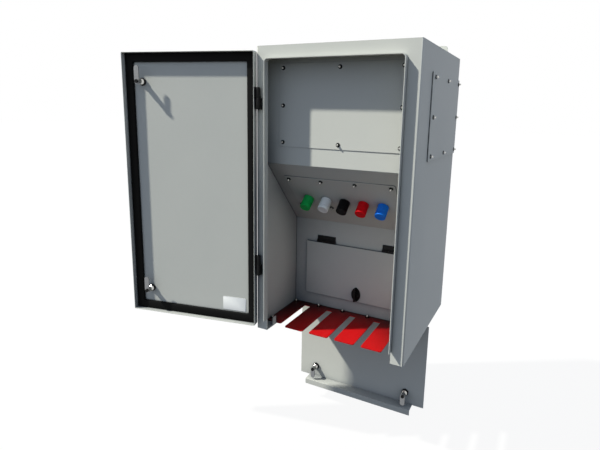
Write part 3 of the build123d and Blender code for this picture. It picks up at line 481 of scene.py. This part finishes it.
# Inlets: moulded insulating bodies in the sloped plate, in the five code colours, each with a turned
# brass pin inside. Their caps hide all but the nuts behind the plate.
code_colours = {
    "ground": ("green_plastic", colour(30, 184, 88), colour(22, 160, 76)),
    "neutral": ("white_plastic", colour(240, 243, 241), colour(228, 232, 230)),
    "phase_a": ("black_plastic", colour(16, 16, 17), colour(9, 9, 10)),
    "phase_b": ("red_plastic", colour(230, 16, 26), colour(208, 12, 21)),
    "phase_c": ("blue_plastic", colour(34, 132, 246), colour(26, 114, 224)),
}
brass_light = colour(214, 178, 104)
brass_dark = colour(168, 130, 66)
brass_grain = (160.0, 4.0, 0.6)
brass_gloss = (0.22, 0.2)
plastic_flow = (70.0, 3.0)
plastic_mould = (900.0, 2.0)
roughness_by_flow = 0.12
roughness_by_mould = 0.06
mould_strength = 0.12
mould_depth = 0.06 * MM
plastic_shine = 0.1


def plastic(name, light, dark, gloss=0.3):
    """Moulded plastic: a faint flow mark in the colour and a fine mould grain."""
    material, shader, place = new_finish(name)
    flow = noise(place, *plastic_flow)
    mould = noise(place, *plastic_mould)
    mixed(flow, dark, light).into(shader, "Base Color")
    (gloss + roughness_by_flow * flow + roughness_by_mould * mould).into(shader, "Roughness")
    bumped(mould, mould_strength, mould_depth, shader)
    shader.inputs["Specular IOR Level"].default_value = plastic_shine
    return material


contact_brass = grained("contact_brass", brass_dark, brass_light, brass_grain, brass_gloss, metal=1.0)
code_plastics = {}
for name, (slot, light, dark) in code_colours.items():
    code_plastics[name] = plastic(slot, light, dark)
    finish_node(code_plastics[name], f"inlet_{name}")
    finish_node(contact_brass, f"contact_{name}")

# Caps: push-on moulded covers, one on each inlet, that sit down on the plate. A straight barrel,
# a groove, an end band with a notch on its upper side, and a dished end face.
cap_radius = 18.0 * MM
cap_bore = 15.3 * MM
cap_length = 42.0 * MM
cap_band = 10.0 * MM
cap_groove_width = 1.8 * MM
cap_groove_depth = 1.2 * MM
cap_round = 1.8 * MM
cap_end_wall = 5.0 * MM
cap_dish_radius = 12.0 * MM
cap_dish_depth = 0.8 * MM
cap_edge = 0.3 * MM
notch_width = 9.0 * MM
notch_height = 3.0 * MM
notch_depth = 1.2 * MM
cap_steps = 72
notch_wall_angle = 0.01


def cap_mesh():
    """One cap about the local Z axis, its open mouth at height 0 and its notch towards local Y."""
    bm = bmesh.new()
    band_low = cap_length - cap_band
    groove_low = band_low - cap_groove_width
    waist = cap_radius - cap_groove_depth
    notch_low = cap_length - (cap_band + notch_height) / 2
    notch_high = notch_low + notch_height
    half_notch = asin(notch_width / 2 / cap_radius)
    angles = [2 * pi * k / cap_steps for k in range(cap_steps)]
    angles = [a for a in angles if abs(abs(a - pi / 2) - half_notch) > 2 * notch_wall_angle]
    for side in (-1, 1):
        angles += [pi / 2 + side * half_notch, pi / 2 + side * (half_notch + notch_wall_angle)]
    angles.sort()

    def row(radius, height, cut=0.0):
        points = []
        for angle in angles:
            inside = abs(angle - pi / 2) <= half_notch + notch_wall_angle / 2
            reach = radius - cut if inside else radius
            points.append(bm.verts.new((reach * cos(angle), reach * sin(angle), height)))
        return points

    rows = [
        row(cap_bore, cap_length - cap_end_wall),
        row(cap_bore, 0),
        row(cap_radius - cap_edge, 0),
        row(cap_radius, cap_edge),
        row(cap_radius, groove_low - cap_edge),
        row(cap_radius - cap_edge, groove_low),
        row(waist, groove_low),
        row(waist, band_low),
        row(cap_radius - cap_edge, band_low),
        row(cap_radius, band_low + cap_edge),
        row(cap_radius, notch_low),
        row(cap_radius, notch_low + cap_edge, notch_depth),
        row(cap_radius, notch_high - cap_edge, notch_depth),
        row(cap_radius, notch_high),
    ]
    for k in range(dome_steps + 1):
        swing = k / dome_steps * pi / 2
        radius = cap_radius - cap_round * (1 - cos(swing))
        rows.append(row(radius, cap_length - cap_round * (1 - sin(swing))))
    rows.append(row(cap_dish_radius, cap_length))
    rows.append(row(cap_dish_radius - cap_dish_depth, cap_length - cap_dish_depth))
    layered(bm, rows)
    return bm


frame_of = facing(slope_out)
for name, material in code_plastics.items():
    node = f"cap_{name}"
    low, high = extent(solids(node)[0], frame_of.inverted())
    mouth = Vector(((low.x + high.x) / 2, (low.y + high.y) / 2, high.z - cap_length))
    moulding = stamped(cap_mesh(), [frame_of @ Matrix.Translation(mouth)])
    slot = code_colours[name][0]
    piece(node + "_moulding", moulding, material, "cabinet", slot, node)

# Bus bars, supports and lugs: bent copper flats from the inlets' studs up to plated clamp lugs, held by
# two bars of red glass polyester. Behind the barrier, so they only show with the covers off.
copper_light = colour(196, 122, 84)
copper_dark = colour(150, 86, 58)
copper_grain = (60.0, 5.0, 0.6)
copper_gloss = (0.28, 0.25)
lug_light = colour(196, 197, 198)
lug_dark = colour(160, 161, 162)
lug_grain = (300.0, 3.0, 0.5)
lug_gloss = (0.35, 0.2)
support_light = colour(172, 34, 28)
support_dark = colour(146, 24, 20)
support_grain = (120.0, 4.0, 0.6)
support_gloss = (0.45, 0.2)
support_relief = (0.15, 0.15 * MM)

bus_copper = grained("bus_copper", copper_dark, copper_light, copper_grain, copper_gloss, metal=1.0)
lug_metal = grained("lug_metal", lug_dark, lug_light, lug_grain, lug_gloss, metal=1.0)
insulator = grained(
    "insulator", support_dark, support_light, support_grain, support_gloss, relief=support_relief
)
finish_node(bus_copper, *[f"bus_bar_{name}" for name in code_colours])
finish_node(lug_metal, "bus_lugs")
finish_node(insulator, "bus_support_upper", "bus_support_lower")

# Cable comb: a 3 mm sheet of red glass-polyester board, sawn into fingers and screwed down.
# Its faces are smooth pressed resin with the glass mat showing as a faint mottle, and painted shade
# darkens the colour deep inside the bay.
board_light = colour(186, 12, 15)
board_dark = colour(160, 8, 11)
# Painted shade: a near-black red where little is open within this reach, deep inside the bay.
painted_board_shade = colour(40, 3, 4)
board_shade_reach = 220.0 * MM
board_shade_slope = 2.6
board_shade_start = -1.0
board_glass = 180.0
board_cloud = (26.0, 4.0, 0.6)
glass_share = 0.5
board_roughness = 0.34
roughness_span = 0.18
glass_strength = 0.1
glass_depth = 0.1 * MM
board_shine = 0.2
board_edge = 0.4 * MM

red_board, shader, place = new_finish("red_board")
glass = place.node("TexVoronoi", {"feature": "F1"}, {"Vector": place, "Scale": board_glass})
cloud = noise(place, *board_cloud)
board = mixed(glass_share * glass + (1 - glass_share) * cloud, board_dark, board_light)
board_shade_openness = openness(place, board_shade_reach)
# Painted shade: the red goes near black where other faces close the comb in.
mixed(board_shade_openness * board_shade_slope + board_shade_start, painted_board_shade, board).into(shader, "Base Color")
(board_roughness + roughness_span * cloud).into(shader, "Roughness")
bumped(glass, glass_strength, glass_depth, shader)
shader.inputs["Specular IOR Level"].default_value = board_shine
finish_node(red_board, "cable_comb", edge=board_edge)

# Side cover gasket: a thin sheet-rubber frame pinched under the blank plate on the right side.
# Die-cut from the same black rubber as the screws' washers.
finish_node(gasket_rubber, "side_cover_gasket")

# Door gasket: a black foam strip stuck round the inside of the door pan, with rounded corners.
# The sealing lips of the cabinet press into it when the door is shut.
gasket_width = 26.0 * MM
gasket_round = 2.2 * MM
gasket_corner = 4.0 * MM
gasket_corner_steps = 5
gasket_least_bend = 0.4 * MM
ease_share = 0.3


def joint(name):
    """Place, axis and range of a joint of the record, the range in radians."""
    found = next(j for j in frame["joints"] if j["name"] == name)
    return Vector(found["pos_m"]), Vector(found["axis"]), [radians(a) for a in found["range_deg"]]


door_at, door_axis, door_range = joint("door_hinge")
door_swing = Matrix.Rotation(-door_range[1], 4, door_axis)
door_open = Matrix.Translation(door_at) @ door_swing @ Matrix.Translation(-door_at)
gasket_low, gasket_high = extent(solids("door_gasket")[0], door_open.inverted())
thick = gasket_high.y - gasket_low.y
soft = gasket_round
section = [
    (0.0, 0.0),
    (0.0, thick - soft),
    (ease_share * soft, thick - ease_share * soft),
    (soft, thick),
    (gasket_width - soft, thick),
    (gasket_width - ease_share * soft, thick - ease_share * soft),
    (gasket_width, thick - soft),
    (gasket_width, 0.0),
]
bm = bmesh.new()
loops = []
for inset, height in section:
    bend = max(gasket_corner - inset, gasket_least_bend)
    loop = []
    for side_x, side_z, start in ((1, 1, 0.0), (-1, 1, 0.5), (-1, -1, 1.0), (1, -1, 1.5)):
        corner_x = (gasket_high.x if side_x > 0 else gasket_low.x) - side_x * (inset + bend)
        corner_z = (gasket_high.z if side_z > 0 else gasket_low.z) - side_z * (inset + bend)
        for k in range(gasket_corner_steps + 1):
            angle = (start + 0.5 * k / gasket_corner_steps) * pi
            x = corner_x + bend * cos(angle)
            z = corner_z + bend * sin(angle)
            loop.append(bm.verts.new((x, gasket_low.y + height, z)))
    loops.append(loop)
layered(bm, loops, bored=True)
bmesh.ops.transform(bm, matrix=door_open, verts=bm.verts)
piece("door_gasket_strip", bm, gasket_rubber, "door", "gasket_rubber", "door_gasket")

# Label: a bare white plastic plate stuck to the inside of the door, low down on the hinge side.
# Punched with rounded corners and left blank.
label_width = 84.0 * MM
label_height = 47.0 * MM
label_thickness = 0.6 * MM
label_corner = 3.0 * MM
label_corner_steps = 5
label_edge = 0.15 * MM
round_profile = 0.5
label_gloss = 0.35
label_from_hinge_side = 12.0 * MM
label_from_bottom = 5.0 * MM
label_light = colour(232, 234, 233)
label_dark = colour(220, 222, 222)


def slab(bm, outline, low_z, high_z, edge):
    """A flat plate from its (x, y) outline, with softened edges."""
    rows = [[bm.verts.new((x, y, z)) for x, y in outline] for z in (low_z, high_z)]
    layered(bm, rows)
    rims = [e for e in bm.edges if e.verts[0].co.z == e.verts[1].co.z]
    softening = {"offset": edge, "segments": edge_segments, "profile": round_profile}
    bmesh.ops.bevel(bm, geom=rims, affect="EDGES", **softening)


def rounded_rectangle(left, bottom, right_end, top, corner, steps):
    """Points round a rectangle with round corners, anticlockwise."""
    points = []
    for x, y, start in (
        (right_end - corner, top - corner, 0.0),
        (left + corner, top - corner, 0.5),
        (left + corner, bottom + corner, 1.0),
        (right_end - corner, bottom + corner, 1.5),
    ):
        for k in range(steps + 1):
            angle = (start + 0.5 * k / steps) * pi
            points.append((x + corner * cos(angle), y + corner * sin(angle)))
    return points


label_plastic = plastic("label_plastic", label_light, label_dark, label_gloss)
label_left = gasket_low.x + gasket_width + label_from_hinge_side
label_bottom = gasket_low.z + gasket_width + label_from_bottom
label_box = (label_left, label_bottom, label_left + label_width, label_bottom + label_height)
bm = bmesh.new()
label_outline = rounded_rectangle(*label_box, label_corner, label_corner_steps)
slab(bm, label_outline, 0, label_thickness, label_edge)
upright = Matrix.Rotation(pi / 2, 4, "X") @ Matrix.Scale(-1, 4, (0, 0, 1))
door_face = Matrix.Translation((0, gasket_low.y, 0)) @ upright
bmesh.ops.transform(bm, matrix=door_open @ door_face, verts=bm.verts)
piece("label_plate", bm, label_plastic, "door", "white_plastic")

# Hinges: black-coated steel halves on the door and the access door, plated ones on the flap,
# with plated steel pins. Drawn bar, so the edges are crisp but not sharp.
black_light = colour(20, 21, 22)
black_dark = colour(9, 10, 11)
black_grain = (420.0, 3.0, 0.5)
black_gloss = (0.38, 0.2)
black_relief = (0.2, 0.1 * MM)
black_shine = 0.15
hinge_edge = 0.5 * MM

black_paint = grained(
    "black_paint", black_dark, black_light, black_grain, black_gloss, black_relief, shine=black_shine
)
hinge_halves = ("door_hinge_frames", "door_hinge_leaves", "access_hinge_frames", "access_hinge_leaves")
finish_node(black_paint, *hinge_halves, edge=hinge_edge)
hinge_pins = ("door_hinge_pins", "access_hinge_pins", "flap_hinge_pin")
finish_node(zinc, *hinge_pins, "flap_hinge_frame", "flap_hinge_leaf")

# Cam latches of the door and the flap: a plated housing with a threaded barrel through the sheet,
# a black hexagon nut behind it, and a slotted spindle that carries a plated cam.
# A black hexagon screw clamps the cam.
cam_light = colour(150, 152, 154)
cam_dark = colour(112, 114, 117)
cam_grain = (180.0, 4.0, 0.6)
cam_gloss = (0.3, 0.2)
sheet = 2.0 * MM
flange_radius = 15.0 * MM
flange_height = 3.0 * MM
flange_round = 1.0 * MM
barrel_radius = 9.0 * MM
barrel_length = 20.0 * MM
thread_pitch = 1.5 * MM
thread_depth = 0.7 * MM
nut_flats = 22.0 * MM
nut_height = 7.0 * MM
nut_chamfer = 1.0 * MM
spindle_radius = 5.0 * MM
spindle_fit = 0.05 * MM
shoulder_radius = 7.5 * MM
shoulder_gap = 0.3 * MM
cam_standoff = 30.5 * MM
cam_thickness = 3.0 * MM
cam_width = 17.0 * MM
cam_edge = 0.4 * MM
cam_lengths = {"door": 50.0 * MM, "flap": 36.0 * MM}
cam_screw_flats = 11.0 * MM
cam_screw_height = 4.0 * MM
cam_screw_chamfer = 0.7 * MM
slot_width = 1.8 * MM
slot_depth = 1.5 * MM
hexagon_steps = 48

cam_metal = grained("cam_metal", cam_dark, cam_light, cam_grain, cam_gloss, metal=1.0)


def hexagon(bm, flats, low_z, high_z, chamfer, bore=0.0):
    """A hexagon nut or screw head whose corners are turned down at both ends."""
    half = flats / 2
    corner = half / cos(pi / 6)
    rows = []
    for height, limit in (
        (low_z, corner - chamfer),
        (low_z + chamfer / 2, corner),
        (high_z - chamfer / 2, corner),
        (high_z, corner - chamfer),
    ):
        row = []
        for k in range(hexagon_steps):
            angle = 2 * pi * k / hexagon_steps
            radius = min(limit, half / cos(angle % (pi / 3) - pi / 6))
            row.append(bm.verts.new((radius * cos(angle), radius * sin(angle), height)))
        rows.append(row)
    if bore:
        rows = [ring(bm, bore, low_z, hexagon_steps)] + rows + [ring(bm, bore, high_z, hexagon_steps)]
    layered(bm, rows, bored=bore > 0)


def latch_housing():
    """Flange outside the sheet and threaded barrel through it, bored for the spindle."""
    bm = bmesh.new()
    outer = -sheet - flange_height
    bore = spindle_radius + spindle_fit
    outline = [
        (bore, outer),
        (flange_radius - flange_round, outer),
        (flange_radius - ease_share * flange_round, outer + ease_share * flange_round),
        (flange_radius, outer + flange_round),
        (flange_radius, -sheet),
        (barrel_radius, -sheet),
        (barrel_radius, 0),
    ]
    turns = int((barrel_length - thread_pitch) / thread_pitch)
    for k in range(turns):
        outline.append((barrel_radius - thread_depth, (k + 0.5) * thread_pitch))
        outline.append((barrel_radius, (k + 1) * thread_pitch))
    outline += [(barrel_radius - thread_depth, barrel_length), (bore, barrel_length)]
    turned(bm, outline, bored=True)
    return bm


def latch_nut():
    """The nut that clamps the housing to the sheet."""
    bm = bmesh.new()
    hexagon(bm, nut_flats, 0, nut_height, nut_chamfer, bore=barrel_radius)
    return bm


def latch_cam(length):
    """Spindle with its slotted outer end, shoulder, and the cam pointing along local X."""
    bm = bmesh.new()
    half = cam_width / 2
    far = length - half
    outline = []
    for k in range(round_steps + 1):
        angle = (k / round_steps - 0.5) * pi
        outline.append((far + half * cos(angle), half * sin(angle)))
    outline += [(-x + far, -y) for x, y in outline]
    slab(bm, outline, cam_standoff, cam_standoff + cam_thickness, cam_edge)
    shoulder_low = barrel_length + shoulder_gap
    slot_floor = -sheet - flange_height + slot_depth
    shaft = [
        (spindle_radius, slot_floor),
        (spindle_radius, shoulder_low),
        (shoulder_radius - cam_edge, shoulder_low),
        (shoulder_radius, shoulder_low + cam_edge),
        (shoulder_radius, cam_standoff),
    ]
    turned(bm, shaft)
    tilt = acos(slot_width / 2 / spindle_radius)
    for side in (0, pi):
        cheek = []
        for k in range(round_steps + 1):
            angle = side + pi / 2 - tilt + 2 * tilt * k / round_steps
            cheek.append((spindle_radius * cos(angle), spindle_radius * sin(angle)))
        ends = (slot_floor - slot_depth, slot_floor)
        layered(bm, [[bm.verts.new((x, y, z)) for x, y in cheek] for z in ends])
    return bm


def latch_screw():
    """The hexagon screw that clamps the cam on the spindle."""
    bm = bmesh.new()
    cam_top = cam_standoff + cam_thickness
    hexagon(bm, cam_screw_flats, cam_top, cam_top + cam_screw_height, cam_screw_chamfer)
    return bm


latch_sets = {
    "door": (door_swing @ -front, up, ("upper", "lower")),
    "flap": (front, -up, ("left", "right")),
}
for body, (inward, pointing, sides) in latch_sets.items():
    frame_of = Matrix((pointing, inward.cross(pointing), inward)).transposed().to_4x4()
    places = []
    for side in sides:
        latch = f"{body}_latch_{side}"
        at = Matrix.Translation(joint(latch + "_turn")[0]) @ frame_of
        places.append(at)
        cam = latch_cam(cam_lengths[body])
        piece(latch + "_cam_bar", stamped(cam, [at]), cam_metal, latch, "zinc", latch + "_cam")
        screw = stamped(latch_screw(), [at])
        piece(latch + "_cam_screw", screw, black_paint, latch, "black_paint", latch + "_cam")
    housings = body + "_latch_housings"
    piece(body + "_latch_barrels", stamped(latch_housing(), places), zinc, body, "zinc", housings)
    piece(body + "_latch_nuts", stamped(latch_nut(), places), black_paint, body, "black_paint", housings)

# Access latch: a moulded escutcheon on the small door with a wing knob that turns the cam behind.
# Both are of the same black plastic as the black cap, with softly rounded edges.
latch_edge = 0.6 * MM
finish_node(code_plastics["phase_a"], "access_latch_housing", "access_latch_wing", edge=latch_edge)

# Room: a plain floor just below the hanging flap, a slightly warm key from high on the left front,
# and an even pale surround. The floor and the surround show white.
floor_drop = 0.06
floor_half = 30.0
floor_tone = 0.05
floor_lift = 0.92
key_travel = Vector((1.6, 1.0, -1.95))
key_strength = 5.75
key_tint = (1.0, 0.98, 0.89)
key_softness = radians(1.8)
sky_strength = 0.5
sky_tint = (0.83, 0.98, 1.26, 1.0)
white = (1.0, 1.0, 1.0, 1.0)
black = (0.0, 0.0, 0.0, 1.0)

bm = bmesh.new()
bmesh.ops.create_grid(bm, x_segments=1, y_segments=1, size=floor_half)
mesh = bpy.data.meshes.new("floor")
bm.to_mesh(mesh)
bm.free()
floor = bpy.data.objects.new("floor", mesh)
bpy.context.scene.collection.objects.link(floor)
floor.location.z = cad_low.z - floor_drop
floor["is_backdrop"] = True


def shown_directly(tree):
    """1 for what is seen, straight or mirrored, and 0 for the light that reaches the box."""
    path = Wire(tree).node("LightPath")
    glossy = Wire(tree, path.socket.node.outputs["Is Glossy Ray"])
    clear = Wire(tree, path.socket.node.outputs["Is Transmission Ray"])
    total = path + glossy + clear
    return total.math("MINIMUM", total, 1.0)


floor_paint, shader, place = new_finish("floor_paint")
shader.inputs["Base Color"].default_value = (floor_tone, floor_tone, floor_tone, 1.0)
shader.inputs["Roughness"].default_value = 1.0
shader.inputs["Specular IOR Level"].default_value = 0.0
shader.inputs["Emission Strength"].default_value = floor_lift
seen = shown_directly(place.tree)
mixed(seen, black, white).into(shader, "Emission Color")
mesh.materials.append(floor_paint)

world = bpy.data.worlds.new("surround")
bpy.context.scene.world = world
world.use_nodes = True
seen = shown_directly(world.node_tree)
background = world.node_tree.nodes["Background"]
mixed(seen, sky_tint, white).into(background, "Color")
(sky_strength + seen * (1.0 - sky_strength)).into(background, "Strength")

key = bpy.data.objects.new("key", bpy.data.lights.new("key", "SUN"))
bpy.context.scene.collection.objects.link(key)
key.rotation_euler = (-key_travel).to_track_quat("Z", "Y").to_euler()
key.data.energy = key_strength
key.data.color = key_tint
key.data.angle = key_softness

# Bounds of the dressed model, taken again at the end
low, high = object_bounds()
